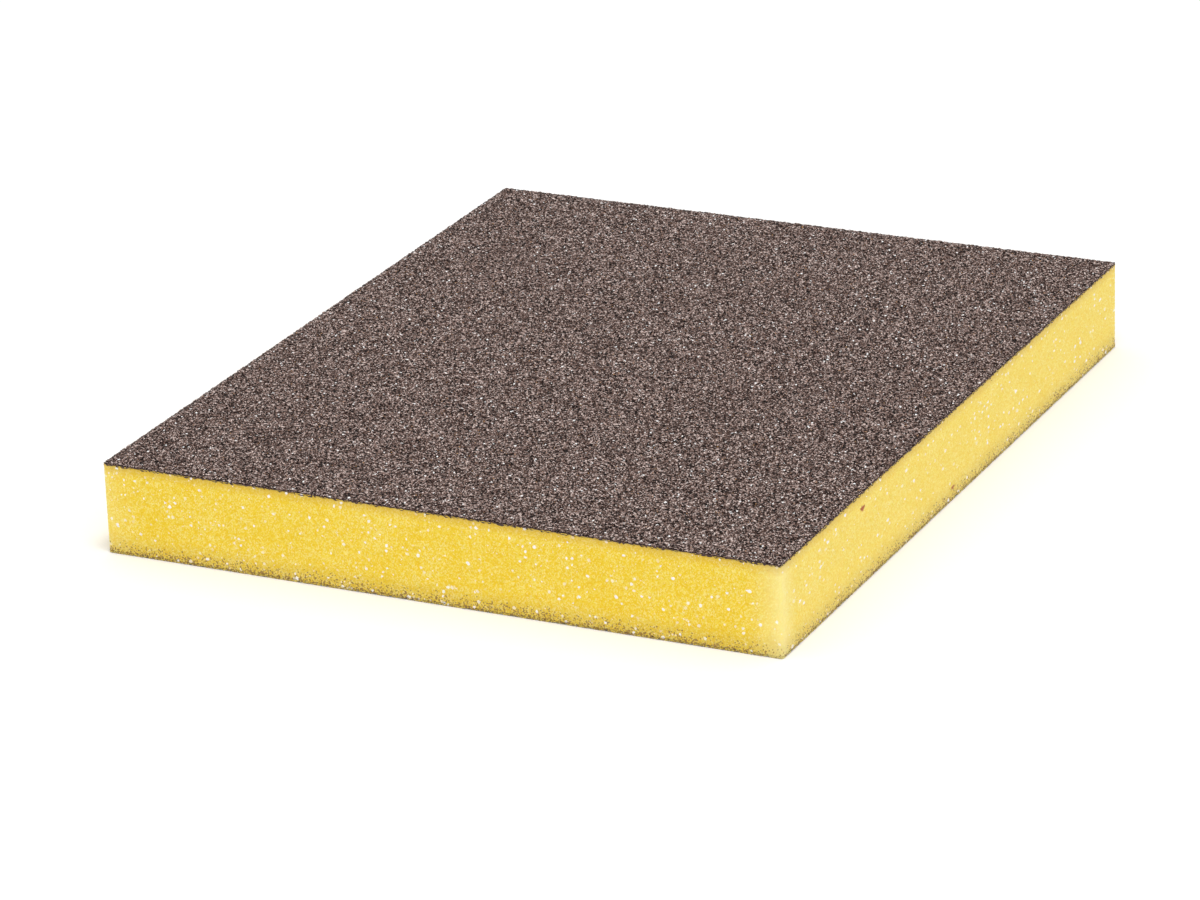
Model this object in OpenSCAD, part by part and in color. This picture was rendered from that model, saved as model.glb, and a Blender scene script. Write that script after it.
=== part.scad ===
// Flexible sanding pad: a sheet of yellow polyurethane foam, cut to size with a straight knife,
// with an abrasive coat bonded to both of its large faces.
//
// Each abrasive coat is built up in three layers, in the order in which they are put on:
//   make coat   the flexible resin that glues the grains to the foam
//   grit layer  one grain deep, grains of brown aluminium oxide lying side by side
//   size coat   the thin hard resin that locks the grains to each other
//
// The pad lies flat on the XY plane. The origin is at the middle of its lower face, X runs
// across its width, Y along its length, and Z up through its thickness.
// All sizes are in millimetres.

/* [Pad] */
// Length of the pad, its longest side
pad_length = 120; // [60:1:230]
// Width of the pad
pad_width = 98; // [50:1:150]
// Thickness of the whole pad, from coat to coat
pad_thickness = 13; // [5:0.5:30]
// Radius that the cutting knife leaves on the four upright corners
corner_radius = 0.4; // [0.2:0.1:3]

/* [Abrasive coats] */
// Thickness of the flexible resin that glues the grains to the foam
make_coat_thickness = 0.08; // [0.04:0.01:0.3]
// Depth of the one layer of grains, which is the mean size of a grain
grain_size = 0.20; // [0.05:0.01:0.6]
// Thickness of the hard resin that locks the grains together
size_coat_thickness = 0.04; // [0.02:0.01:0.2]

/* [Hidden] */
// How finely the corners are drawn
$fn = 48;
// One whole abrasive coat: make coat, grains and size coat
coat_thickness = make_coat_thickness + grain_size + size_coat_thickness;
// What is left for the foam between the two coats
foam_thickness = pad_thickness - 2 * coat_thickness;

// The outline that the knife cuts: a rectangle whose corners are barely rounded
module knife_outline() {
    straight_width = pad_width - 2 * corner_radius;
    straight_length = pad_length - 2 * corner_radius;
    square([pad_width, straight_length], center = true);
    square([straight_width, pad_length], center = true);
    for (side_x = [-1, 1], side_y = [-1, 1])
        translate([side_x * straight_width / 2, side_y * straight_length / 2])
            circle(r = corner_radius);
}

// One layer of the pad, from a height above the resting face, with the pad's own outline
module layer(from_height, thickness) {
    translate([0, 0, from_height])
        linear_extrude(height = thickness)
            knife_outline();
}

// Soft foam that gives under the hand and springs back
module foam_core() {
    color("gold")
        layer(coat_thickness, foam_thickness);
}

// Lower coat, which the pad rests on: it hangs under the foam, so its layers are in reverse
module lower_make_coat() {
    color("saddlebrown")
        layer(coat_thickness - make_coat_thickness, make_coat_thickness);
}

module lower_grit_layer() {
    color("dimgray")
        layer(size_coat_thickness, grain_size);
}

module lower_size_coat() {
    color("rosybrown")
        layer(0, size_coat_thickness);
}

// Upper coat, which stands on the foam
module upper_make_coat() {
    color("saddlebrown")
        layer(pad_thickness - coat_thickness, make_coat_thickness);
}

module upper_grit_layer() {
    color("dimgray")
        layer(pad_thickness - size_coat_thickness - grain_size, grain_size);
}

module upper_size_coat() {
    color("rosybrown")
        layer(pad_thickness - size_coat_thickness, size_coat_thickness);
}

foam_core();
lower_make_coat();
lower_grit_layer();
lower_size_coat();
upper_make_coat();
upper_grit_layer();
upper_size_coat();
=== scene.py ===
# %% [markdown]
# # A flexible foam sanding pad
# The pad is a sheet of soft yellow polyurethane foam, cut with a straight knife, with a coat of
# brown grit bonded to both large faces. The CAD model gives its size, its seven layers and the one
# thing that moves: the foam gives when the upper face is pressed. This lesson builds the looks
# round that frame: cells along the cut sides, resin, and tens of thousands of grains.

# %% Load the frame
import math

import bpy
import numpy as np
from mathutils import Matrix, Vector


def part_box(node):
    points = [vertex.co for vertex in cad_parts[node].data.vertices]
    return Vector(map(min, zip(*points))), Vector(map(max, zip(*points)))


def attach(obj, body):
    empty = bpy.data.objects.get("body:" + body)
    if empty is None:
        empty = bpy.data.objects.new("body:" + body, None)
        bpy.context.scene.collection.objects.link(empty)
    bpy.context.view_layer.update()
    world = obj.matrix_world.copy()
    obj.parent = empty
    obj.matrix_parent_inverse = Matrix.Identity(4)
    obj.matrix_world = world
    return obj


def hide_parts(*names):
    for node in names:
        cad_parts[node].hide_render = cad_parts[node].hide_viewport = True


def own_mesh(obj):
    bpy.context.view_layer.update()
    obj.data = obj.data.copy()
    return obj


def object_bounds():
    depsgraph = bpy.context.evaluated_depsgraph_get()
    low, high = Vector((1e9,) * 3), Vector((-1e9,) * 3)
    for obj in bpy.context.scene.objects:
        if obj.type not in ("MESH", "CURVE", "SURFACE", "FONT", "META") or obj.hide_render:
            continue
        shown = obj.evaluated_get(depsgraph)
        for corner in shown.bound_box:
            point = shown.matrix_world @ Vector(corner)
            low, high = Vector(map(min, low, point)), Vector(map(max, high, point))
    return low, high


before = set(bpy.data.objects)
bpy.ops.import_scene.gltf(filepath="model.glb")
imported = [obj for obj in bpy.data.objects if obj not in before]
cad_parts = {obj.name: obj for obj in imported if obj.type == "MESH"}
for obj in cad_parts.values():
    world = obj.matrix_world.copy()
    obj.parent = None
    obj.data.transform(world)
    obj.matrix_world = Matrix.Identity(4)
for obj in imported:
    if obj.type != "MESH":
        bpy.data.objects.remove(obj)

cad_low, cad_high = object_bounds()

# %% [markdown]
# ## Sizes
# Blender works in metres, but foam cells and grains are easier to think of in millimetres. So the
# meshes are worked out in millimetres, and one function turns them into metres at the very end.
# Every place comes from the CAD boxes, so if the CAD pad grows, this script follows it. Only the
# radius of the upright corners is repeated here, because a box doesn't show it.

# %% Read the sizes off the CAD layers
MM = 0.001


def height_of(node_name):
    """The lowest and highest point of a CAD layer, in millimetres."""
    low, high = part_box(node_name)
    return low.z / MM, high.z / MM


half_width = cad_high.x / MM
half_length = cad_high.y / MM
pad_thickness = cad_high.z / MM
foam_bottom, foam_top = height_of("foam_core")
make_bottom, make_top = height_of("upper_make_coat")
_, grit_top = height_of("upper_grit_layer")
CORNER_RADIUS = 0.4
print(f"pad {2 * half_width:.0f} x {2 * half_length:.0f} x {pad_thickness:.0f} mm,",
      f"foam from {foam_bottom:.2f} to {foam_top:.2f} mm")

# %% [markdown]
# ## Camera
# A long lens from some way off keeps the pad's edges almost parallel, as in a product picture. The
# camera stands a little to the right of the short side's middle and looks down at about 22 degrees.
# Its three axes are worked out from those angles.

# %% Place the camera
AROUND = math.radians(26.19)
ABOVE = math.radians(21.52)
TILT = math.radians(-2.04)
LENS = 159.5
SENSOR_WIDTH = 36
DISTANCE = 719.2 * MM
NEAREST_SEEN = 10 * MM
LOOKS_AT = Vector((3.79, -18.09, pad_thickness / 2)) * MM


def camera_axes(around, above, tilt):
    """The camera's right, up and backward directions."""
    back = Vector((math.sin(around) * math.cos(above), -math.cos(around) * math.cos(above),
                   math.sin(above)))
    level_right = Vector((0, 0, 1)).cross(back).normalized()
    level_up = back.cross(level_right)
    right = level_right * math.cos(tilt) + level_up * math.sin(tilt)
    up = level_up * math.cos(tilt) - level_right * math.sin(tilt)
    return right, up, back


right, up, back = camera_axes(AROUND, ABOVE, TILT)
camera_data = bpy.data.cameras.new("camera")
camera_data.lens = LENS
camera_data.sensor_width = SENSOR_WIDTH
camera_data.clip_start = NEAREST_SEEN
camera = bpy.data.objects.new("camera", camera_data)
camera.matrix_world = Matrix((right, up, back)).transposed().to_4x4()
camera.location = LOOKS_AT + back * DISTANCE
bpy.context.scene.collection.objects.link(camera)
bpy.context.scene.camera = camera
print("camera at", [round(value, 3) for value in camera.location])

# %% [markdown]
# ## Helpers for materials
# Paint colours are usually given as hex values, which are sRGB. Blender's shaders work in linear
# light, so every colour goes through one function. Another adds a node, sets it and links it in
# one go, which keeps each material short.

# %% Helpers for colours and nodes
def linear(hex_colour):
    """The linear red, green, blue and alpha of a colour such as #f0d356."""
    channels = [int(hex_colour[start:start + 2], 16) / 255 for start in (1, 3, 5)]
    lit = [c / 12.92 if c <= 0.04045 else ((c + 0.055) / 1.055) ** 2.4 for c in channels]
    return (*lit, 1.0)


def set_inputs(node, inputs):
    """Gives each of these inputs its value, or a link from another node's output."""
    for socket, value in dict(inputs).items():
        if isinstance(value, bpy.types.NodeSocket):
            node.id_data.links.new(value, node.inputs[socket])
        else:
            node.inputs[socket].default_value = value


def add_node(tree, kind, inputs=(), stops=(), **settings):
    """Adds a node: a value or a link for each input, and settings for its own menus.

    A colour ramp also gets its stops: (position, hex colour), from left to right.
    """
    made = tree.nodes.new(kind)
    for name, value in settings.items():
        setattr(made, name, value)
    set_inputs(made, inputs)
    if stops:
        elements = made.color_ramp.elements
        while len(elements) > 1:
            elements.remove(elements[-1])
        elements[0].position = stops[0][0]
        elements[0].color = linear(stops[0][1])
        for position, hex_colour in stops[1:]:
            elements.new(position).color = linear(hex_colour)
    return made


def new_material(name):
    """A material that is only a Principled shader so far, with its node tree and that shader."""
    material = bpy.data.materials.new(name)
    material.use_nodes = True
    tree = material.node_tree
    tree.nodes.clear()
    shader = add_node(tree, "ShaderNodeBsdfPrincipled")
    add_node(tree, "ShaderNodeOutputMaterial", {"Surface": shader.outputs["BSDF"]})
    return material, tree, shader

# %% [markdown]
# ## Floor and light
# The pad lies on a plain pale floor, under the soft, even light of a light tent. A white world
# does most of the work. One soft lamp, nearly overhead and a little to the front right, gives the
# grains their lit and their shaded sides.

# %% Make the floor and the light
FLOOR_SIZE = 12.0
PAPER_CLOUD = 0.25
PAPER_SHADES = [(0.3, "#f8f8f8"), (0.7, "#fbfbfb")]
PAPER_ROUGHNESS = 0.9
PAPER_GLOSS = 0.1
TENT_BRIGHTNESS = 0.85
LAMP_PLACE = (0.18, -0.19, 0.97)
LAMP_SIZE = 0.3
LAMP_WATTS = 3.6


def pale_floor():
    """A big sheet of white paper, with clouds of two whites a quarter of a metre across."""
    material, tree, shader = new_material("white_paper_sweep")
    place = add_node(tree, "ShaderNodeNewGeometry").outputs["Position"]
    fibres = add_node(tree, "ShaderNodeTexNoise", {
        "Vector": place, "Scale": 1 / PAPER_CLOUD, "Detail": 3.0})
    paper = add_node(tree, "ShaderNodeValToRGB", {
        "Fac": fibres.outputs["Fac"]}, stops=PAPER_SHADES)
    set_inputs(shader, {"Base Color": paper.outputs["Color"], "Roughness": PAPER_ROUGHNESS,
                        "Specular IOR Level": PAPER_GLOSS})
    half = FLOOR_SIZE / 2
    mesh = bpy.data.meshes.new("floor")
    mesh.from_pydata([(-half, -half, 0), (half, -half, 0), (half, half, 0), (-half, half, 0)],
                     [], [(0, 1, 2, 3)])
    mesh.materials.append(material)
    floor = bpy.data.objects.new("floor", mesh)
    bpy.context.scene.collection.objects.link(floor)


def soft_lamp(name, place, size, watts):
    """A square area lamp at a place in metres, turned towards the pad."""
    data = bpy.data.lights.new(name, "AREA")
    data.size = size
    data.energy = watts
    lamp = bpy.data.objects.new(name, data)
    lamp.location = place
    lamp.rotation_euler = (-Vector(place)).to_track_quat("-Z", "Y").to_euler()
    bpy.context.scene.collection.objects.link(lamp)


world = bpy.data.worlds.new("light_tent")
world.use_nodes = True
world.node_tree.nodes["Background"].inputs["Color"].default_value = (1, 1, 1, 1)
world.node_tree.nodes["Background"].inputs["Strength"].default_value = TENT_BRIGHTNESS
bpy.context.scene.world = world
bpy.context.scene.view_settings.view_transform = "Standard"
pale_floor()
soft_lamp("overhead_lamp", LAMP_PLACE, LAMP_SIZE, LAMP_WATTS)
print(f"floor {FLOOR_SIZE:.0f} m wide, lamp of {LAMP_WATTS} watts")

# %% [markdown]
# ## From numbers to a mesh
# The pieces are many small facets that follow a rule, so they are worked out as whole arrays with
# numpy, which is far quicker than adding one vertex at a time. Each point also keeps its place at
# rest, in millimetres, as an attribute. The materials read their patterns from it, so a pattern
# stays nailed to the foam when the foam is squashed.
#
# A UV map gives each corner of each face a place on a flat picture, for anyone who bakes the
# colours for another program.

# %% Helpers for meshes
BAKE_MAP = "OFBake"


def make_piece(name, points, faces, notes, material, picture_places, smooth=False):
    """A Blender object from points in millimetres, faces, and named values for each point."""
    mesh = bpy.data.meshes.new(name)
    mesh.from_pydata((points * MM).tolist(), [], faces)
    mesh.attributes.new("rest_mm", "FLOAT_VECTOR", "POINT").data.foreach_set(
        "vector", points.astype(np.float32).ravel())
    for note, values in notes.items():
        mesh.attributes.new(note, "FLOAT", "POINT").data.foreach_set(
            "value", values.astype(np.float32))
    flat_map = mesh.uv_layers.new(name=BAKE_MAP)
    flat_map.uv.foreach_set("vector", picture_places.astype(np.float32).ravel())
    mesh.materials.append(material)
    mesh.polygons.foreach_set("use_smooth", [smooth] * len(mesh.polygons))
    mesh.update()
    piece = bpy.data.objects.new(name, mesh)
    bpy.context.scene.collection.objects.link(piece)
    print(f"{name}: {len(mesh.vertices)} points, {len(mesh.polygons)} faces")
    return piece


def honeycomb(columns, rows, closed):
    """Points in rows like oranges in a crate, each row half a step along from the last.

    Gives each point's column, row and kind, and the triangles between the points. There are three
    kinds and no two neighbours share one, so pushing in every point of kind 0 makes six-sided
    pits with the other two kinds as their rims. A closed honeycomb's ends meet, as round a pad.
    """
    row, column = np.divmod(np.arange(columns * rows), columns)
    kind = (column - row // 2 + 2 * row) % 3
    here, above = np.meshgrid(np.arange(columns if closed else columns - 1), np.arange(rows - 1))
    a = above * columns + here
    b = above * columns + (here + 1) % columns
    c, d = a + columns, b + columns
    even = (above % 2 == 0)[..., None]
    first = np.where(even, np.stack([a, b, c], -1), np.stack([a, b, d], -1))
    second = np.where(even, np.stack([b, d, c], -1), np.stack([a, d, c], -1))
    return column, row, kind, np.concatenate([first.reshape(-1, 3), second.reshape(-1, 3)])

# %% [markdown]
# ## Walking round the pad
# The cut sides are one band that runs round the pad. One function turns a distance walked along
# the knife's cut into a place on the outline and the direction out of the foam there.
# The four straight cuts are joined by tiny arcs, because a knife never leaves a perfect corner.
# A second function lays the band out on the flat picture as four strips, one for each side.

# %% The knife's outline
STRAIGHT_ALONG = 2 * (half_length - CORNER_RADIUS)
STRAIGHT_ACROSS = 2 * (half_width - CORNER_RADIUS)
CORNER_ARC = math.pi / 2 * CORNER_RADIUS
CUT_LENGTHS = np.array([STRAIGHT_ALONG, STRAIGHT_ACROSS] * 2) + CORNER_ARC
CUT_STARTS = np.concatenate([[0], np.cumsum(CUT_LENGTHS)[:3]])
ROUND_THE_PAD = CUT_LENGTHS.sum()
STRIP_HEIGHT = 0.23
STRIP_MARGIN = 0.01
STRIP_GAP = 0.04


def knife_outline(distance):
    """The x, y place and the x, y outward direction at each distance walked round the pad."""
    place = np.zeros((len(distance), 2))
    outward = np.zeros((len(distance), 2))
    for quarter in range(4):
        facing = quarter * math.pi / 2
        out = np.array([math.cos(facing), math.sin(facing)])
        along = np.array([-out[1], out[0]])
        reach = (half_width, half_length)[quarter % 2]
        straight = CUT_LENGTHS[quarter] - CORNER_ARC
        step = distance - CUT_STARTS[quarter]
        on_cut = (step >= 0) & (step < straight)
        place[on_cut] = out * reach + along * (step[on_cut, None] - straight / 2)
        outward[on_cut] = out
        on_arc = (step >= straight) & (step < straight + CORNER_ARC)
        turn = facing + (step[on_arc] - straight) / CORNER_RADIUS
        ray = np.stack([np.cos(turn), np.sin(turn)], -1)
        place[on_arc] = out * (reach - CORNER_RADIUS) + along * straight / 2 + ray * CORNER_RADIUS
        outward[on_arc] = ray
    return place, outward


def strips_on_picture(distance, share_up):
    """Flat places for the corners of faces on the cut sides, given as faces by corners."""
    wraps = distance.max(1) - distance.min(1) > ROUND_THE_PAD / 2
    distance = np.where(wraps[:, None] & (distance < ROUND_THE_PAD / 2),
                        distance + ROUND_THE_PAD, distance)
    side = np.searchsorted(CUT_STARTS, distance.mean(1) % ROUND_THE_PAD, side="right") - 1
    start = CUT_STARTS[side] + np.where(wraps & (side == 0), ROUND_THE_PAD, 0)
    across = (distance - start[:, None]) / CUT_LENGTHS.max()
    across = STRIP_MARGIN + (1 - 2 * STRIP_MARGIN) * np.clip(across, 0, 1)
    upward = STRIP_HEIGHT * (side[:, None] + STRIP_GAP + (1 - 2 * STRIP_GAP) * share_up)
    return np.stack([across, upward], -1)


print(f"once round the pad is {ROUND_THE_PAD:.1f} mm")

# %% [markdown]
# ## The foam block
# Open-celled polyurethane foam is a froth of bubbles that have joined. A knife cuts them open, so
# a cut side is a field of small pits with thin rims. Bump in the material could draw them, but it
# would vanish at the edges. So each cell is real: a six-sided pit on a honeycomb of 0.44 mm, with
# every point shaken a little out of line so that no rows show.
# Along the bottom the knife comes out of the foam and frays it, so the lowest row hangs down over
# the edge of the lower coat. Most of it hangs low, and a few points stay high.

# %% Shape the cut sides
CELL_SIZE = 0.44
STEP = CELL_SIZE / math.sqrt(3)
SHAKE = 0.3
PIT_DEPTHS = (0.04, 0.12)
RIM_DEPTHS = (0.0, 0.03)
FRAY = (0.05, 0.31)
FRAY_POWER = 3
TUCK = 0.8


def foam_sides(rng):
    """The band of cells round the four cut sides, with one row tucked in below it."""
    columns = 3 * round(ROUND_THE_PAD / STEP / 3)
    rows = round((foam_top - foam_bottom) / (STEP * math.sqrt(3) / 2)) + 2
    column, row, kind, triangles = honeycomb(columns, rows, closed=True)
    tucked = row == 0
    edge_row = (row == 1) | (row == rows - 1)
    shaken = rng.uniform(-SHAKE, SHAKE, (len(row), 2)) * STEP
    shaken[edge_row | tucked, 1] = 0
    distance = ((column + row % 2 / 2) * ROUND_THE_PAD / columns + shaken[:, 0]) % ROUND_THE_PAD
    level = np.maximum(row - 1, 0) / (rows - 2)
    height = foam_bottom + level * (foam_top - foam_bottom) + shaken[:, 1]
    height[row == 1] -= FRAY[1] - (FRAY[1] - FRAY[0]) * rng.random(columns) ** FRAY_POWER
    pit = (kind == 0) & ~edge_row
    depth = rng.uniform(*RIM_DEPTHS, len(row))
    depth[pit] = rng.uniform(*PIT_DEPTHS, pit.sum())
    depth[tucked] = TUCK
    place, outward = knife_outline(distance)
    points = np.column_stack([place - outward * depth[:, None], height])
    shares = row / (rows - 1)
    flat = strips_on_picture(distance[triangles], shares[triangles])
    return points, triangles, flat, depth, columns


print(f"cells of {CELL_SIZE} mm, cut open {PIT_DEPTHS[0]} to {PIT_DEPTHS[1]} mm deep")

# %% [markdown]
# ## Painted glow, wear and rust
# The foam is painted paler as painted light. There is a painted glow at the upright corners, where
# the foam is lit from two sides: most at one corner and a little at the other three. A painted
# sheen lies lightly over the whole right side. The same number also stands for wear, where handling
# has rubbed specks and strays off. The knife also left two specks of rust on the right side. Each
# is a number from 0 to 1 at every point, for the material to read.

# %% Paint the foam's glow and wear, and build it
PALE_REACH = 5.5
PALE_STRETCH = 1.4
PALE_POWER = 1.5
PAINTED_GLOW_MOST = 0.85
PAINTED_GLOW_LITTLE = 0.3
PAINTED_SHEEN_SIDE = 0.2
SIDE_LAYER = 1.0
RUST_SPOTS = ((-33.75, 10.6, 0.7, 0.32), (-2.9, 1.85, 0.6, 0.26))
SPARE_CORNER = (0.01, 0.95)
SPARE_HALF = 0.02
FOAM_SEED = 11


def painted_glow_and_wear(places):
    """From 0 to 1, how much paler the foam is painted: a painted glow, most at one upright corner,
    and a painted sheen on the right side. It also stands for wear.
    """
    to_corner = (half_width - np.abs(places[:, 0])
                 + (half_length - np.abs(places[:, 1])) / PALE_STRETCH)
    # Painted glow at the upright corners and painted sheen on the right side; the same number
    # stands for wear.
    corner_glow = np.where((places[:, 0] > 0) & (places[:, 1] < 0), PAINTED_GLOW_MOST, PAINTED_GLOW_LITTLE)
    near = np.clip(1 - to_corner / PALE_REACH, 0, 1) ** PALE_POWER * corner_glow
    on_right = places[:, 0] > half_width - SIDE_LAYER
    return np.maximum(near, np.where(on_right, PAINTED_SHEEN_SIDE, 0))


def rust_spots(points):
    """One inside the specks of rust on the right side, given as place and reach, 0 elsewhere."""
    spotted = np.zeros(len(points))
    for along, height, reach_along, reach_up in RUST_SPOTS:
        away = np.hypot((points[:, 1] - along) / reach_along, (points[:, 2] - height) / reach_up)
        spotted[(points[:, 0] > half_width - SIDE_LAYER) & (away < 1)] = 1.0
    return spotted


def small_on_picture(points):
    """Flat places in a small spare corner, for a face that another layer hides."""
    shares = points[:, :2] / (half_width, half_length)
    return np.array(SPARE_CORNER) + SPARE_HALF * (shares + 1)


def foam_block(material):
    rng = np.random.default_rng(FOAM_SEED)
    points, triangles, flat, depth, columns = foam_sides(rng)
    lower_face = np.arange(columns)[::-1]
    upper_face = np.arange(len(points) - columns, len(points))
    faces = triangles.tolist() + [lower_face.tolist(), upper_face.tolist()]
    flat_places = np.concatenate([flat.reshape(-1, 2), small_on_picture(points[lower_face]),
                                  small_on_picture(points[upper_face])])
    notes = {"pit_depth": depth, "glow_and_wear": painted_glow_and_wear(points), "rust": rust_spots(points)}
    return make_piece("foam_block", points, faces, notes, material, flat_places, smooth=True)


# %% [markdown]
# ## Polyurethane foam
# Soft polyester-type polyurethane foam, dyed through with a warm yellow. The bottoms of the pits
# are painted darker than the walls, as painted shade. The patterns read each point's place at rest,
# in millimetres, so a pattern's scale is how many of its cells there are to a millimetre.
#
# The Voronoi pattern gives each cell a chance colour, which is also where the cell's middle lies:
# red across, green along and blue up. A cut side meets only cells with their middles close to it,
# so its red or green is hardly chance at all, but its blue is. Where a second chance is needed, red
# and green are added and only what follows the decimal point is kept.

# %% The foam's colour
WALLS_PER_MM = 6.26
CLOUDS_PER_MM = 0.24
WALL_CONTRAST = 0.85
WALL_DARKEST = 0.05
PAINTED_PIT_SHADE = -0.4
CLOUD_CONTRAST = 0.25
FOAM_YELLOWS = [(0.0, "#ecc100"), (0.35, "#efc90e"), (0.7, "#f3d645"), (1.0, "#f9e486")]
PAINTED_GLOW_YELLOW = "#fdec9a"


def foam_colour(tree, walls, rest, pit_depth, glow_and_wear):
    """Yellow, chequered by cell walls 0.16 mm apart and by faint clouds 4 mm across."""
    chance = add_node(tree, "ShaderNodeSeparateColor", {"Color": walls.outputs["Color"]})
    cloud = add_node(tree, "ShaderNodeTexNoise", {
        "Vector": rest, "Scale": CLOUDS_PER_MM, "Detail": 1.0})
    speckled = add_node(tree, "ShaderNodeMath", {
        0: chance.outputs["Blue"], 1: WALL_CONTRAST, 2: WALL_DARKEST}, operation="MULTIPLY_ADD")
    # Painted shade: the deeper a pit, the darker its yellow.
    pit_shaded = add_node(tree, "ShaderNodeMath", {
        0: pit_depth, 1: PAINTED_PIT_SHADE, 2: speckled.outputs[0]}, operation="MULTIPLY_ADD")
    clouded = add_node(tree, "ShaderNodeMath", {
        0: cloud.outputs["Fac"], 1: CLOUD_CONTRAST, 2: pit_shaded.outputs[0]},
        operation="MULTIPLY_ADD")
    dyed = add_node(tree, "ShaderNodeValToRGB", {"Fac": clouded.outputs[0]}, stops=FOAM_YELLOWS)
    # Painted glow and sheen: paler yellow at the corners and on the right side.
    paled = add_node(tree, "ShaderNodeMix", {
        "Factor": glow_and_wear, "A": dyed.outputs["Color"], "B": linear(PAINTED_GLOW_YELLOW)},
        data_type="RGBA")
    return paled.outputs["Result"]


print(f"cell walls every {1 / WALLS_PER_MM:.2f} mm")

# %% [markdown]
# ## Resin, painted shade and dragged grit
# Near the coats the first cells are duller: partly from resin soaked into them, and partly from
# painted shade under the upper coat's overhang and near the floor. Grit that the knife dragged
# along shows as dark specks on the lowest two millimetres. They are Voronoi cells 0.18 mm across,
# about the size of a grain. Each is dark or clean by chance. The chance of a dark one falls with
# height, and where the foam is painted pale and counted as worn.

# %% Stain and shade the foam near the coats
STAIN_AND_SHADE_UNDER_TOP = 1.5
STAIN_AND_SHADE_ABOVE_BOTTOM = 3.5
TOP_STAIN_AND_SHADE = "#cfa243"
TOP_STAIN_AND_SHADE_SHARE = 0.6
BOTTOM_STAIN_AND_SHADE = "#8a7760"
BOTTOM_STAIN_AND_SHADE_SHARE = 0.22
SPECKS_PER_MM = 5.6
SPECKS_FROM = foam_bottom - 0.2
SPECKS_TO = foam_bottom + 1.9
SPECKS_MOST = 0.6
SPECKS_IF_WORN = 0.3
SPECK_POWER = 1.4
SPECK_BROWN = "#a17f3e"


def stained_and_shaded(tree, colour, height):
    """The foam's colour, duller under the upper coat and above the lower one, as resin stain and
    painted shade.
    """
    under_top = add_node(tree, "ShaderNodeMapRange", {
        "Value": height, "From Min": foam_top - STAIN_AND_SHADE_UNDER_TOP, "From Max": foam_top,
        "To Max": TOP_STAIN_AND_SHADE_SHARE})
    above_bottom = add_node(tree, "ShaderNodeMapRange", {
        "Value": height, "From Min": foam_bottom, "From Max": foam_bottom + STAIN_AND_SHADE_ABOVE_BOTTOM,
        "To Min": BOTTOM_STAIN_AND_SHADE_SHARE, "To Max": 0.0}, interpolation_type="SMOOTHSTEP")
    # Resin stain and painted shade: a duller band under the upper coat and one above the floor.
    soaked_and_shaded = add_node(tree, "ShaderNodeMix", {
        "Factor": under_top.outputs[0], "A": colour, "B": linear(TOP_STAIN_AND_SHADE)}, data_type="RGBA")
    dulled_and_shaded = add_node(tree, "ShaderNodeMix", {
        "Factor": above_bottom.outputs[0], "A": soaked_and_shaded.outputs["Result"],
        "B": linear(BOTTOM_STAIN_AND_SHADE)}, data_type="RGBA")
    return dulled_and_shaded.outputs["Result"]


def specked(tree, colour, rest, height, glow_and_wear):
    """The colour with brown specks of grit, fewer the higher up and where the foam is painted pale
    and counted as worn.
    """
    dragged = add_node(tree, "ShaderNodeTexVoronoi", {"Vector": rest, "Scale": SPECKS_PER_MM})
    lot = add_node(tree, "ShaderNodeSeparateColor", {"Color": dragged.outputs["Color"]})
    share = add_node(tree, "ShaderNodeMapRange", {
        "Value": height, "From Min": SPECKS_FROM, "From Max": SPECKS_TO,
        "To Min": SPECKS_MOST, "To Max": 0.0})
    clean = add_node(tree, "ShaderNodeMapRange", {
        "Value": glow_and_wear, "To Min": 1.0, "To Max": SPECKS_IF_WORN})
    left = add_node(tree, "ShaderNodeMath", {
        0: share.outputs[0], 1: clean.outputs[0]}, operation="MULTIPLY")
    bunched = add_node(tree, "ShaderNodeMath", {
        0: left.outputs[0], 1: SPECK_POWER}, operation="POWER")
    dark = add_node(tree, "ShaderNodeMath", {
        0: lot.outputs["Blue"], 1: bunched.outputs[0]}, operation="LESS_THAN")
    grimy = add_node(tree, "ShaderNodeMix", {
        "Factor": dark.outputs[0], "A": colour, "B": linear(SPECK_BROWN)}, data_type="RGBA")
    return grimy.outputs["Result"]


print(f"specks of grit up to {SPECKS_TO:.1f} mm above the floor")

# %% [markdown]
# ## Windows in the foam
# Here and there a bubble's skin has stayed whole, and this little window catches the light. Its
# glint is painted white into the foam's colour, as a painted highlight. The windows are dots in
# Voronoi cells of 0.75 mm, drawn out by half along the pad, as the bubbles are. Each cell's luck,
# times a cloud that gathers them in loose clusters, sets its dot's size: most are too small to see,
# and the largest are 0.5 mm across. Noise bends the dots out of round, and a second chance makes
# some of them faint.

# %% Find the windows and their painted glints
WINDOWS_PER_MM = 1.34
DRAWN_ALONG = (1.0, 0.65, 1.0)
RAGGED_PER_MM = 3.44
RAGGED_BY = (0.35, 0.35, 0.35)
CLUSTERS_PER_MM = 0.44
LUCK_NEEDED = (0.15, 0.52)
WINDOW_RADII = (0.04, 0.34)
WINDOW_EDGE = (-0.02, 0.04)
FAINT_TO_BRIGHT = (0.3, 1.2)
PAINTED_GLINT_WHITE = "#fff8f0"


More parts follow.
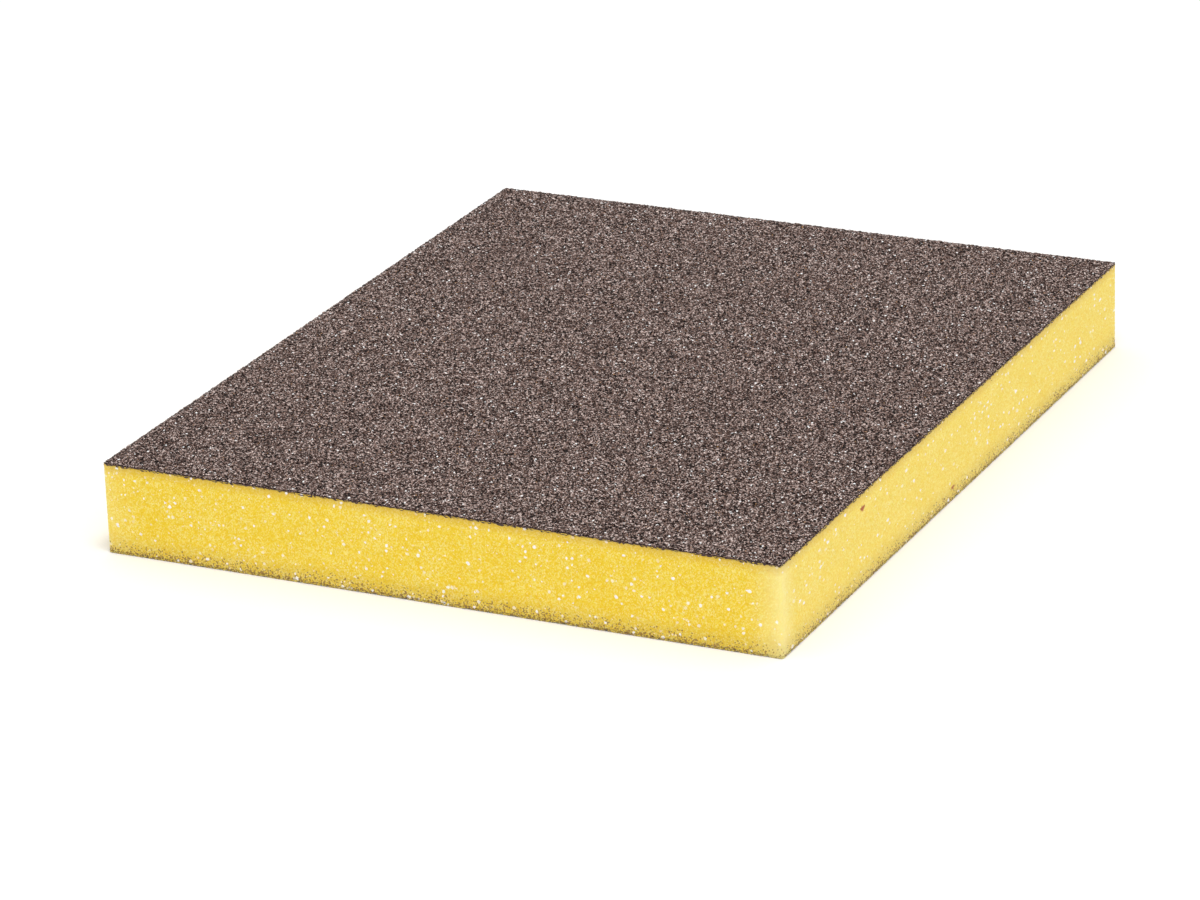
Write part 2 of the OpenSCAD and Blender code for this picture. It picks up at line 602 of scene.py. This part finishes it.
def painted_window_glints(tree, rest):
    """How strongly a window's painted glint shows at each place: 0 is none, and 1 and over is
    white.
    """
    ragged = add_node(tree, "ShaderNodeTexNoise", {"Vector": rest, "Scale": RAGGED_PER_MM})
    drawn_out = add_node(tree, "ShaderNodeVectorMath", {
        0: rest, 1: DRAWN_ALONG}, operation="MULTIPLY")
    bent = add_node(tree, "ShaderNodeVectorMath", {
        0: ragged.outputs["Color"], 1: RAGGED_BY, 2: drawn_out.outputs[0]},
        operation="MULTIPLY_ADD")
    seen = add_node(tree, "ShaderNodeTexVoronoi", {
        "Vector": bent.outputs[0], "Scale": WINDOWS_PER_MM})
    luck = add_node(tree, "ShaderNodeSeparateColor", {"Color": seen.outputs["Color"]})
    clusters = add_node(tree, "ShaderNodeTexNoise", {"Vector": rest, "Scale": CLUSTERS_PER_MM})
    reach = add_node(tree, "ShaderNodeMath", {
        0: luck.outputs["Blue"], 1: clusters.outputs["Fac"]}, operation="MULTIPLY")
    radius = add_node(tree, "ShaderNodeMapRange", {
        "Value": reach.outputs[0], "From Min": LUCK_NEEDED[0], "From Max": LUCK_NEEDED[1],
        "To Min": WINDOW_RADII[0], "To Max": WINDOW_RADII[1]})
    inside = add_node(tree, "ShaderNodeMath", {
        0: radius.outputs[0], 1: seen.outputs["Distance"]}, operation="SUBTRACT")
    window = add_node(tree, "ShaderNodeMapRange", {
        "Value": inside.outputs[0], "From Min": WINDOW_EDGE[0], "From Max": WINDOW_EDGE[1]})
    red_and_green = add_node(tree, "ShaderNodeMath", {
        0: luck.outputs["Red"], 1: luck.outputs["Green"]}, operation="ADD")
    second_luck = add_node(tree, "ShaderNodeMath", {
        0: red_and_green.outputs[0]}, operation="FRACT")
    faint = add_node(tree, "ShaderNodeMapRange", {
        "Value": second_luck.outputs[0], "To Min": FAINT_TO_BRIGHT[0],
        "To Max": FAINT_TO_BRIGHT[1]})
    glint = add_node(tree, "ShaderNodeMath", {
        0: window.outputs[0], 1: faint.outputs[0]}, operation="MULTIPLY")
    return glint.outputs[0]


print(f"windows in cells of {1 / WINDOWS_PER_MM:.2f} mm")

# %% [markdown]
# ## The foam's material
# Light enters the thin cell walls and comes out a little way off, so the foam glows, most of all
# at a corner, where it is lit from two sides. That is subsurface scattering: red light travels
# about a millimetre in yellow foam, and blue light a quarter as far. Foam is rough, with a little
# sheen from the torn edges of its cells, and only the windows are smooth.

# %% Put the foam's material together
RUST = "#a9501e"
FOAM_ROUGHNESS = 0.8
WINDOW_ROUGHNESS = 0.3
FOAM_IOR = 1.5
SHEEN = 0.12
GLOW = 0.3
GLOW_REACH = 1.2 * MM
GLOW_BY_COLOUR = (1.0, 0.75, 0.25)
WALL_RELIEF = 0.03 * MM


def polyurethane_foam():
    material, tree, shader = new_material("yellow_polyurethane_foam")
    rest = add_node(tree, "ShaderNodeAttribute", attribute_name="rest_mm").outputs["Vector"]
    height = add_node(tree, "ShaderNodeSeparateXYZ", {"Vector": rest}).outputs["Z"]
    pit_depth, glow_and_wear, rust = (
        add_node(tree, "ShaderNodeAttribute", attribute_name=note).outputs["Fac"]
        for note in ("pit_depth", "glow_and_wear", "rust"))
    walls = add_node(tree, "ShaderNodeTexVoronoi", {"Vector": rest, "Scale": WALLS_PER_MM})
    colour = foam_colour(tree, walls, rest, pit_depth, glow_and_wear)
    colour = stained_and_shaded(tree, colour, height)
    colour = specked(tree, colour, rest, height, glow_and_wear)
    glint = painted_window_glints(tree, rest)
    # Painted highlight: the windows' glints are white in the base colour.
    glinting = add_node(tree, "ShaderNodeMix", {
        "Factor": glint, "A": colour, "B": linear(PAINTED_GLINT_WHITE)}, data_type="RGBA")
    rusted = add_node(tree, "ShaderNodeMix", {
        "Factor": rust, "A": glinting.outputs["Result"], "B": linear(RUST)}, data_type="RGBA")
    rough = add_node(tree, "ShaderNodeMapRange", {
        "Value": glint, "To Min": FOAM_ROUGHNESS, "To Max": WINDOW_ROUGHNESS})
    relief = add_node(tree, "ShaderNodeBump", {
        "Height": walls.outputs["Distance"], "Distance": WALL_RELIEF, "Strength": 0.5})
    set_inputs(shader, {
        "Base Color": rusted.outputs["Result"], "Roughness": rough.outputs[0],
        "Normal": relief.outputs["Normal"], "IOR": FOAM_IOR, "Sheen Weight": SHEEN,
        "Subsurface Weight": GLOW, "Subsurface Radius": GLOW_BY_COLOUR,
        "Subsurface Scale": GLOW_REACH})
    return material


foam = foam_block(polyurethane_foam())

# %% [markdown]
# ## An abrasive coat
# Grit is put on in three passes. The make coat is a flexible resin that glues the grains to the
# foam. The grains are then blown on, one layer deep. The size coat is a thin hard resin that
# flows between them and locks them. From outside, the make coat is a thin dark line where the coat
# ends, the size coat is the dark bed between the grains, and the grains are angular crystals.
#
# Each layer is built for the upper face, and a function turns it over for the lower one. The
# knife enters through the upper coat and leaves through the lower one, so the lower coat's edge is
# torn back further: EDGE_TEAR holds both, and its key says whether it is the lower coat.

# %% Turn a layer over for the lower face
EDGE_TEAR = {False: (0.0, 0.18), True: (0.06, 0.4)}


def turned_over(points, triangles):
    """Mirrors a layer of the upper coat to the lower face, and keeps its faces outward."""
    flipped = points.copy()
    flipped[:, 2] = pad_thickness - flipped[:, 2]
    return flipped, [face[::-1] for face in triangles]


def coat_layer(name, points, faces, notes, material, flat_places, lower, smooth=False):
    """A piece of the upper coat, or the same turned over, its flat places in the new order."""
    if lower:
        points, turned = turned_over(points, faces)
        lengths = np.array([len(face) for face in faces])
        ends = np.cumsum(lengths)
        order = np.repeat(ends + ends - lengths - 1, lengths) - np.arange(ends[-1])
        faces, flat_places = turned, flat_places[order]
    return make_piece(name, points, faces, notes, material, flat_places, smooth)


print(f"torn back up to {EDGE_TEAR[False][1]} mm above and {EDGE_TEAR[True][1]} mm below")

# %% [markdown]
# ## The make coat
# A thin sheet of brown resin, of which only the rim shows. Its top edge wavers by a tenth of a
# millimetre or two, where the knife has torn it. Its lower edge has teeth, because the knife drags
# resin down with it over the foam's first cells. Most teeth are short and a few are long: their
# length is a chance squared. The lower coat has none, for there the knife pulls resin off the foam.

# %% Build the make coat
RIM_STEP = 0.25
HIDDEN_REACH = 0.5
DRAGGED_DOWN = {False: 0.25, True: 0.0}
DRAGGED_OUT = 0.05
MAKE_SEED = 21


def make_resin_sheet(lower, material, seed):
    rng = np.random.default_rng(seed)
    count = round(ROUND_THE_PAD / RIM_STEP)
    distance = np.arange(count) * ROUND_THE_PAD / count
    place, outward = knife_outline(distance)
    torn = rng.uniform(*EDGE_TEAR[lower], count)
    hangs = rng.random(count) ** 2
    rings = [
        (-HIDDEN_REACH, np.full(count, make_bottom)),
        (DRAGGED_OUT * hangs, make_bottom - DRAGGED_DOWN[lower] * hangs),
        (-torn, np.full(count, make_top)),
    ]
    points = np.concatenate([
        np.column_stack([place + outward * np.reshape(out, (-1, 1)), height])
        for out, height in rings
    ])
    here = np.arange(count)
    after = (here + 1) % count
    wall = np.concatenate([
        np.stack([here, after, after + count, here + count], -1) + ring * count
        for ring in range(2)
    ])
    caps = [here[::-1], here + 2 * count]
    faces = wall.tolist() + [cap.tolist() for cap in caps]
    shares = np.repeat([0.0, 0.5, 1.0], count)
    flat = strips_on_picture(np.tile(distance, 3)[wall], shares[wall]).reshape(-1, 2)
    flat_places = np.concatenate([flat] + [small_on_picture(points[cap]) for cap in caps])
    name = "lower_make_resin" if lower else "upper_make_resin"
    return coat_layer(name, points, faces, {}, material, flat_places, lower)

# %% [markdown]
# ## The size coat
# The size resin pools between the grains and climbs up their flanks, so its surface is a rough
# little landscape: a honeycomb again, with a point every quarter of a millimetre, each lifted by
# chance. Near the edge the knife has pressed it flatter.
#
# On the flat picture the large face takes up nearly all the room, beside two narrow strips for
# the thin wall round the edge and the hidden underside.

# %% Build the size coat
BED_STEP = 0.25
BED_RISES = (0.0, 0.25)
PRESSED_EDGE = 0.9
PRESSED_SHARE = 0.65
PICTURE_MARGIN = 0.005
FACE_WIDTH = 0.95
FACE_HEIGHT = 0.99
WALL_FROM = 0.97
WALL_TO = 0.985
HIDDEN_MIDDLE = (0.993, 0.5)
HIDDEN_HALF = (0.003, 0.49)
SIZE_SEED = 31


def face_on_picture(x, y):
    """Flat places for the large face, which takes up most of the picture."""
    return np.column_stack([PICTURE_MARGIN + FACE_WIDTH * (x / half_width + 1) / 2,
                            PICTURE_MARGIN + FACE_HEIGHT * (y / half_length + 1) / 2])


def border_on_picture(bottom):
    """Flat places for the wall round the bed and for its hidden underside."""
    count = len(bottom)
    step = np.arange(count) / count
    next_step = step + 1 / count
    corners = ((WALL_FROM, step), (WALL_FROM, next_step), (WALL_TO, next_step), (WALL_TO, step))
    wall = np.stack([
        np.column_stack([np.full(count, side), PICTURE_MARGIN + FACE_HEIGHT * along])
        for side, along in corners
    ], 1)
    shares = bottom[::-1, :2] / (half_width, half_length)
    hidden = np.array(HIDDEN_MIDDLE) + np.array(HIDDEN_HALF) * shares
    return np.concatenate([wall.reshape(-1, 2), hidden])


def size_resin_bed(lower, material, seed):
    rng = np.random.default_rng(seed)
    columns = round(2 * half_width / BED_STEP) + 1
    rows = round(2 * half_length / (BED_STEP * math.sqrt(3) / 2)) + 1
    column, row, _, triangles = honeycomb(columns, rows, closed=False)
    across = (column + row % 2 / 2) / (columns - 1)
    x = (2 * across - 1) * half_width
    y = (2 * row / (rows - 1) - 1) * half_length
    x[column == 0] = -half_width
    x[column == columns - 1] = half_width
    on_side = (column == 0) | (column == columns - 1)
    on_end = (row == 0) | (row == rows - 1)
    shaken = rng.uniform(-SHAKE, SHAKE, (len(row), 2)) * BED_STEP
    torn = rng.uniform(*EDGE_TEAR[lower], (len(row), 2))
    x += np.where(on_side, -np.sign(x) * torn[:, 0], shaken[:, 0])
    y += np.where(on_end, -np.sign(y) * torn[:, 1], shaken[:, 1])
    least_torn = EDGE_TEAR[lower][0]
    x = np.clip(x, least_torn - half_width, half_width - least_torn)
    y = np.clip(y, least_torn - half_length, half_length - least_torn)
    rise = rng.uniform(*BED_RISES, len(x))
    to_edge = np.minimum(half_width - np.abs(x), half_length - np.abs(y))
    pressed = np.where(to_edge < PRESSED_EDGE, PRESSED_SHARE, 1.0)
    top = np.column_stack([x, y, make_top + rise * pressed])
    border = np.concatenate([
        np.arange(columns - 1),
        np.arange(rows - 1) * columns + columns - 1,
        rows * columns - 1 - np.arange(columns - 1),
        (rows - 1 - np.arange(rows - 1)) * columns,
    ])
    bottom = np.column_stack([top[border, :2], np.full(len(border), make_top)])
    below = len(top) + np.arange(len(border))
    wall = np.stack([below, np.roll(below, -1), np.roll(border, -1), border], -1)
    faces = triangles.tolist() + wall.tolist() + [below[::-1].tolist()]
    points = np.concatenate([top, bottom])
    rises = np.concatenate([rise, np.zeros(len(border))]) / BED_RISES[1]
    flat_places = np.concatenate([face_on_picture(x, y)[triangles].reshape(-1, 2),
                                  border_on_picture(bottom)])
    name = "lower_size_resin" if lower else "upper_size_resin"
    return coat_layer(name, points, faces, {"rise": rises}, material, flat_places, lower,
                      smooth=True)

# %% [markdown]
# ## The grains
# Brown aluminium oxide is melted, crushed and sieved, so each grain is a sharp little shard. A
# real coat this fine has some fifteen grains to a square millimetre. The larger ones, which stand
# proud and catch the light, are made one by one: two three-sided pyramids set base to base,
# stretched, and turned every way by chance. The finer ones between them are left to the bed.

# %% Shape the grains
GRAIN_FACES = np.array([[0, 1, 2], [0, 2, 3], [0, 3, 1], [4, 2, 1], [4, 3, 2], [4, 1, 3]])
GRAIN_ON_PICTURE = np.array([[0, 0], [1, 0], [-0.5, 0.87], [-0.5, -0.87], [0, 0]])
TIP_REACH = (0.8, 1.3)
TAIL_REACH = (0.6, 1.1)
WAIST_REACH = (0.7, 1.15)
WAIST_SWING = 0.4


def random_turns(rng, count):
    """Rotation matrices that are spread evenly over every direction."""
    q = rng.normal(size=(count, 4))
    w, x, y, z = (q / np.linalg.norm(q, axis=1)[:, None]).T
    return np.stack([
        np.stack([1 - 2 * (y * y + z * z), 2 * (x * y - z * w), 2 * (x * z + y * w)], -1),
        np.stack([2 * (x * y + z * w), 1 - 2 * (x * x + z * z), 2 * (y * z - x * w)], -1),
        np.stack([2 * (x * z - y * w), 2 * (y * z + x * w), 1 - 2 * (x * x + y * y)], -1),
    ], 1)


def shards(rng, radii):
    """One crushed grain for each radius: five corners and six facets, round its own middle."""
    count = len(radii)
    corners = np.zeros((count, 5, 3))
    corners[:, 0, 2] = rng.uniform(*TIP_REACH, count)
    corners[:, 4, 2] = -rng.uniform(*TAIL_REACH, count)
    for corner in range(3):
        turn = corner * 2 * math.pi / 3 + rng.uniform(-WAIST_SWING, WAIST_SWING, count)
        reach = rng.uniform(*WAIST_REACH, count)
        corners[:, 1 + corner, 0] = np.cos(turn) * reach
        corners[:, 1 + corner, 1] = np.sin(turn) * reach
    turned = np.einsum("nij,nkj->nki", random_turns(rng, count), corners)
    return turned * radii[:, None, None]


def grain_mesh(corners, tones, middles, radius):
    """Points, faces, tones and flat places for many shards, each in its own small patch."""
    faces = (GRAIN_FACES[None] + 5 * np.arange(len(corners))[:, None, None]).reshape(-1, 3)
    flat = middles[:, None, :] + GRAIN_ON_PICTURE[None] * radius
    flat_places = flat.reshape(-1, 2)[faces].reshape(-1, 2)
    return corners.reshape(-1, 3), faces, {"tone": np.repeat(tones, 5)}, flat_places


print(f"a grain has {len(GRAIN_ON_PICTURE)} corners and {len(GRAIN_FACES)} facets")

# %% [markdown]
# ## Strew the grains
# The grains' tips reach the top of the grit layer, give or take a few hundredths of a millimetre.
# Near the edge they are pressed in a little.

# %% Lay a coat's grains
GRAIN_SPACING = 0.64
GRAIN_RADII = (0.08, 0.17)
GRAIN_SHAKE = 0.5
GRAIN_MARGIN = 0.15
TIPS_FROM_TOP = (-0.08, 0.03)
EDGE_SINK = 0.05
GRAIN_PATCH = 0.0018
GRIT_SEED = 41


def scattered(rng, spacing):
    """Places all over the face, about one spacing apart and well shaken."""
    columns = round(2 * half_width / spacing)
    rows = round(2 * half_length / (spacing * math.sqrt(3) / 2))
    column, row, _, _ = honeycomb(columns, rows, closed=False)
    limits = np.array([half_width, half_length]) - GRAIN_MARGIN
    x = ((column + 0.25 + row % 2 / 2) / columns * 2 - 1) * limits[0]
    y = ((row + 0.5) / rows * 2 - 1) * limits[1]
    shaken = rng.uniform(-GRAIN_SHAKE, GRAIN_SHAKE, (len(x), 2)) * spacing
    return np.clip(np.column_stack([x, y]) + shaken, -limits, limits)


def grit(lower, material, seed):
    rng = np.random.default_rng(seed)
    places = scattered(rng, GRAIN_SPACING)
    radii = rng.uniform(*GRAIN_RADII, len(places))
    corners = shards(rng, radii)
    tips = grit_top + rng.uniform(*TIPS_FROM_TOP, len(places))
    to_edge = np.minimum(half_width - np.abs(places[:, 0]), half_length - np.abs(places[:, 1]))
    tips[to_edge < PRESSED_EDGE] -= EDGE_SINK
    middle = tips - corners[:, :, 2].max(1)
    corners += np.column_stack([places, middle])[:, None, :]
    corners[:, :, 2] = np.clip(corners[:, :, 2], make_bottom, None)
    tones = rng.random(len(places))
    on_picture = face_on_picture(places[:, 0], places[:, 1])
    points, faces, notes, flat_places = grain_mesh(corners, tones, on_picture, GRAIN_PATCH)
    name = "lower_grains" if lower else "upper_grains"
    return coat_layer(name, points, faces.tolist(), notes, material, flat_places, lower)


print(f"grains {GRAIN_RADII[0] * 2:.2f} to {GRAIN_RADII[1] * 2:.2f} mm across")

# %% [markdown]
# ## Stray grains
# Strays stick to the foam wherever the knife dragged them: many along the bottom of the cut sides,
# and a few just under the upper coat. Most lie close to their coat and a few lie far off, like
# crumbs from a cut loaf. Fewer stay where the foam is painted pale, which also stands for handling
# that has rubbed them off.

# %% Stick the stray grains to the foam
LOW_STRAYS = 3600
LOW_FROM = foam_bottom - 0.15
LOW_SPREAD = 0.42
LOW_REACH = 2.2
HIGH_STRAYS = 700
HIGH_FROM = foam_top - 0.02
HIGH_SPREAD = 0.15
HIGH_REACH = 0.8
STRAY_RADII = (0.02, 0.06)
STRAY_SINK = 0.03
OFF_FLOOR = 0.01
TONE_POWER = 1.6
STRAY_PATCH = 0.0015
STRAY_SEED = 51


def stray_grains(material):
    rng = np.random.default_rng(STRAY_SEED)
    distance = rng.uniform(0, ROUND_THE_PAD, LOW_STRAYS + HIGH_STRAYS)
    up = np.minimum(rng.exponential(LOW_SPREAD, LOW_STRAYS), LOW_REACH)
    down = np.minimum(rng.exponential(HIGH_SPREAD, HIGH_STRAYS), HIGH_REACH)
    heights = np.concatenate([LOW_FROM + up, HIGH_FROM - down])
    place, outward = knife_outline(distance)
    # Fewer strays where the foam is painted pale, which also stands for wear.
    kept = rng.random(len(distance)) > painted_glow_and_wear(place)
    distance, heights, place, outward = (a[kept] for a in (distance, heights, place, outward))
    middles = np.column_stack([place - outward * STRAY_SINK, heights])
    corners = shards(rng, rng.uniform(*STRAY_RADII, len(distance))) + middles[:, None, :]
    corners[:, :, 2] = np.maximum(corners[:, :, 2], OFF_FLOOR)
    share_up = (heights / pad_thickness)[:, None]
    on_picture = strips_on_picture(distance[:, None], share_up)[:, 0]
    tones = rng.random(len(distance)) ** TONE_POWER
    points, faces, notes, flat_places = grain_mesh(corners, tones, on_picture, STRAY_PATCH)
    return make_piece("stray_grains", points, faces.tolist(), notes, material, flat_places)


print(f"up to {LOW_STRAYS + HIGH_STRAYS} strays on the cut sides")

# %% [markdown]
# ## The make coat's resin
# A dark brown phenolic, poured thin and set as it flowed: half glossy, and lumpy by about a third
# of a millimetre.

# %% The make coat's material
RESIN_IOR = 1.55
LUMPS_PER_MM = 3.0
LUMP_RELIEF = 0.05 * MM
MAKE_ROUGHNESS = 0.5
MAKE_BROWNS = [(0.35, "#24120e"), (0.65, "#4a2e26")]


def make_resin():
    material, tree, shader = new_material("brown_phenolic_make_resin")
    rest = add_node(tree, "ShaderNodeAttribute", attribute_name="rest_mm").outputs["Vector"]
    lumps = add_node(tree, "ShaderNodeTexNoise", {
        "Vector": rest, "Scale": LUMPS_PER_MM, "Detail": 4.0})
    resin = add_node(tree, "ShaderNodeValToRGB", {"Fac": lumps.outputs["Fac"]}, stops=MAKE_BROWNS)
    relief = add_node(tree, "ShaderNodeBump", {
        "Height": lumps.outputs["Fac"], "Distance": LUMP_RELIEF, "Strength": 0.5})
    set_inputs(shader, {
        "Base Color": resin.outputs["Color"], "Normal": relief.outputs["Normal"],
        "Roughness": MAKE_ROUGHNESS, "IOR": RESIN_IOR})
    return material


resin_of_make = make_resin()

# %% [markdown]
# ## The size coat's resin and the small grains in it
# The size resin is of the same family, with small grains just under it. They are Voronoi cells of
# 0.17 mm, each with its own brown, gloss and tilt; the palest browns are painted highlights, and
# there is dark resin with painted shade in the gaps. A point that stands up is painted paler and a
# low one darker, as painted light and shade. One in 125 of a second set of cells, 0.23 mm across,
# is painted white, as the painted highlight of a flat face that flashes.

# %% The size coat's material
SMALL_PER_MM = 6.0
TONE_FROM_CHANCE = 0.72
PAINTED_LIGHT_FROM_RISE = 0.3
GAP_WIDTH = 0.1
GAP_SHADE_SHARE = 0.6
# The palest stops are painted highlights of lit grain faces.
SMALL_BROWNS_AND_HIGHLIGHTS = [(0.0, "#050303"), (0.38, "#170d0b"), (0.53, "#533d36"), (0.73, "#9c837a"),
                (0.92, "#f3e0d9")]
GAP_RESIN_AND_SHADE = "#120d0c"
PAINTED_FLASHES_PER_MM = 4.26
PAINTED_FLASH_FROM = 0.992
SMALL_TILT = 1.1
SMALL_ROUGHNESS = (0.3, 0.65)
SIZE_GLOSS = 0.05


def size_resin():
    material, tree, shader = new_material("grit_filled_size_resin")
    rest = add_node(tree, "ShaderNodeAttribute", attribute_name="rest_mm").outputs["Vector"]
    rise = add_node(tree, "ShaderNodeAttribute", attribute_name="rise").outputs["Fac"]
    small = add_node(tree, "ShaderNodeTexVoronoi", {"Vector": rest, "Scale": SMALL_PER_MM})
    chance = add_node(tree, "ShaderNodeSeparateColor", {"Color": small.outputs["Color"]})
    # Painted light and shade: high points paler, low ones darker.
    painted_lift = add_node(tree, "ShaderNodeMath", {0: rise, 1: PAINTED_LIGHT_FROM_RISE}, operation="MULTIPLY")
    tone = add_node(tree, "ShaderNodeMath", {
        0: chance.outputs["Red"], 1: TONE_FROM_CHANCE, 2: painted_lift.outputs[0]},
        operation="MULTIPLY_ADD")
    colour = add_node(tree, "ShaderNodeValToRGB", {"Fac": tone.outputs[0]}, stops=SMALL_BROWNS_AND_HIGHLIGHTS)
    # Dark resin and painted shade in the gaps between the small grains.
    between = add_node(tree, "ShaderNodeTexVoronoi", {
        "Vector": rest, "Scale": SMALL_PER_MM}, feature="DISTANCE_TO_EDGE")
    gap = add_node(tree, "ShaderNodeMapRange", {
        "Value": between.outputs["Distance"], "From Max": GAP_WIDTH, "To Min": GAP_SHADE_SHARE,
        "To Max": 0.0})
    dark = add_node(tree, "ShaderNodeMix", {
        "Factor": gap.outputs[0], "A": colour.outputs["Color"], "B": linear(GAP_RESIN_AND_SHADE)},
        data_type="RGBA")
    # Painted highlight: a few cells are white, as flat faces that flash.
    flash_cells = add_node(tree, "ShaderNodeTexVoronoi", {"Vector": rest, "Scale": PAINTED_FLASHES_PER_MM})
    draw = add_node(tree, "ShaderNodeSeparateColor", {"Color": flash_cells.outputs["Color"]})
    painted_flashes = add_node(tree, "ShaderNodeMath", {
        0: draw.outputs["Red"], 1: PAINTED_FLASH_FROM}, operation="GREATER_THAN")
    painted_flashing = add_node(tree, "ShaderNodeMix", {
        "Factor": painted_flashes.outputs[0], "A": dark.outputs["Result"], "B": linear("#ffffff")},
        data_type="RGBA")

    # Tilt: each cell's chance colour, from -0.5 to 0.5 on each axis, is added to the normal.
    level = add_node(tree, "ShaderNodeNewGeometry").outputs["Normal"]
    tilt = add_node(tree, "ShaderNodeVectorMath", {
        0: small.outputs["Color"], 1: (0.5, 0.5, 0.5)}, operation="SUBTRACT")
    tilted = add_node(tree, "ShaderNodeVectorMath", {
        0: tilt.outputs[0], 1: [SMALL_TILT] * 3, 2: level}, operation="MULTIPLY_ADD")
    facet = add_node(tree, "ShaderNodeVectorMath", {0: tilted.outputs[0]}, operation="NORMALIZE")
    rough = add_node(tree, "ShaderNodeMapRange", {
        "Value": chance.outputs["Green"], "To Min": SMALL_ROUGHNESS[0],
        "To Max": SMALL_ROUGHNESS[1]})
    set_inputs(shader, {
        "Base Color": painted_flashing.outputs["Result"], "Normal": facet.outputs[0],
        "Roughness": rough.outputs[0], "IOR": RESIN_IOR, "Specular IOR Level": SIZE_GLOSS})
    return material


resin_of_size = size_resin()

# %% [markdown]
# ## Aluminium oxide
# Brown aluminium oxide is a ceramic with a high index of refraction, 1.76, so its facets flash.
# Its colour runs from near black through grey-brown to tan, because each shard froze from a
# different part of the melt, and its broken faces have chips a twelfth of a millimetre apart. The
# palest few are painted near white, as painted glints. The stray grains carry a film of resin and
# foam dust, so they are yellower, and their palest few are painted near white too.

# %% The grains' materials
OXIDE_IOR = 1.76
OXIDE_GLOSS = 0.18
OXIDE_ROUGHNESS = (0.45, 0.22)
CHIPS_PER_MM = 12.0
CHIP_RELIEF = 0.02 * MM
# The top stops of these ramps are painted glints, near white.
OXIDE_BROWNS_AND_GLINTS = [(0.0, "#0e0908"), (0.3, "#36241f"), (0.52, "#75594f"), (0.76, "#b59488"),
                (0.88, "#b28552"), (0.91, "#c9afa3"), (1.0, "#fff0e6")]
STAINED_BROWNS_AND_GLINTS = [(0.0, "#38200c"), (0.3, "#694a22"), (0.7, "#a08048"), (0.88, "#cbb9a8"),
                  (1.0, "#fff6f0")]


def aluminium_oxide(name, browns_and_glints):
    material, tree, shader = new_material(name)
    rest = add_node(tree, "ShaderNodeAttribute", attribute_name="rest_mm").outputs["Vector"]
    tone = add_node(tree, "ShaderNodeAttribute", attribute_name="tone").outputs["Fac"]
    colour = add_node(tree, "ShaderNodeValToRGB", {"Fac": tone}, stops=browns_and_glints)
    chips = add_node(tree, "ShaderNodeTexNoise", {"Vector": rest, "Scale": CHIPS_PER_MM})
    relief = add_node(tree, "ShaderNodeBump", {
        "Height": chips.outputs["Fac"], "Distance": CHIP_RELIEF, "Strength": 0.4})
    rough = add_node(tree, "ShaderNodeMapRange", {
        "Value": tone, "To Min": OXIDE_ROUGHNESS[0], "To Max": OXIDE_ROUGHNESS[1]})
    set_inputs(shader, {
        "Base Color": colour.outputs["Color"], "Normal": relief.outputs["Normal"],
        "Roughness": rough.outputs[0], "IOR": OXIDE_IOR, "Specular IOR Level": OXIDE_GLOSS})
    return material


oxide = aluminium_oxide("brown_aluminium_oxide", OXIDE_BROWNS_AND_GLINTS)
stained_oxide = aluminium_oxide("resin_stained_oxide", STAINED_BROWNS_AND_GLINTS)
print("materials:", sorted(material.name for material in bpy.data.materials))

# %% [markdown]
# ## Put the pad together
# Each piece rides on a CAD body and stands for a CAD layer, which is then hidden. The upper coat
# rides on the upper face. The foam and the stray grains ride with the lower face, each given a mesh
# of its own.

LOWER_SEEDS = 100

for lower in (False, True):
    side = "lower" if lower else "upper"
    body = "foam_and_lower_face" if lower else "upper_face"
    shift = LOWER_SEEDS if lower else 0
    layers = [
        (make_resin_sheet(lower, resin_of_make, MAKE_SEED + shift), "make_coat", "make_resin"),
        (size_resin_bed(lower, resin_of_size, SIZE_SEED + shift), "size_coat", "size_resin"),
        (grit(lower, oxide, GRIT_SEED + shift), "grit_layer", "grit"),
    ]
    for piece, node_name, slot_name in layers:
        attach(piece, body)
        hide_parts(f"{side}_{node_name}")

strays = stray_grains(stained_oxide)
for piece, slot_name in ((foam, "foam"), (strays, "grit")):
    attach(piece, "foam_and_lower_face")
    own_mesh(piece)
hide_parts("foam_core")
